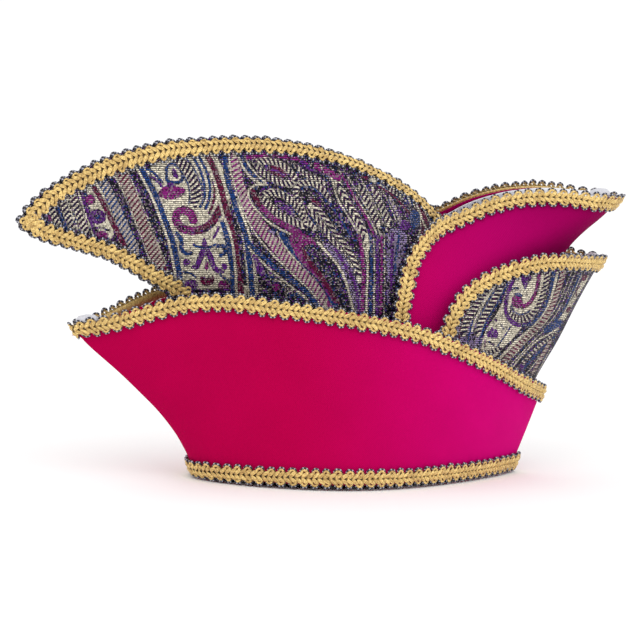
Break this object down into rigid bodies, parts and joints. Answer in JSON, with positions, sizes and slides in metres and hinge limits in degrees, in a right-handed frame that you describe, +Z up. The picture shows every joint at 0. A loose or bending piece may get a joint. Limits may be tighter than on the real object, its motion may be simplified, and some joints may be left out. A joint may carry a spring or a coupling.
{
  "type": "mini hat",
  "caption": "Boat shaped carnival mini hat: paisley brocade crest with a front beak, magenta band and open rear wings, white inside, gold braid on every edge.",
  "frame": {"origin": "middle of the hat's box, on the plane that the hem stands on", "axes": "+Z up from the hem, +X toward the wings at the back, the beak points to -X"},
  "size_m": [0.203, 0.069, 0.1082],
  "materials": {
    "brocade": "metallic jacquard with a paisley pattern",
    "magenta_twill": "fine twill, slight sheen",
    "white_lining": "matt white inner cloth",
    "gold_braid": "metallic thread gimp braid with dark picots"
  },
  "bodies": {
    "root": {"crest_shell": "brocade", "lower_band": "magenta_twill", "pink_wing": "magenta_twill", "brocade_wing": "brocade", "pink_wing_lining": "white_lining", "brocade_wing_lining": "white_lining", "lower_band_lining": "white_lining", "hem_braid": "gold_braid", "band_braid": "gold_braid", "crest_braid_right": "gold_braid", "crest_braid_left": "gold_braid", "pink_wing_braid": "gold_braid", "brocade_wing_braid": "gold_braid"}
  },
  "joints": []
}
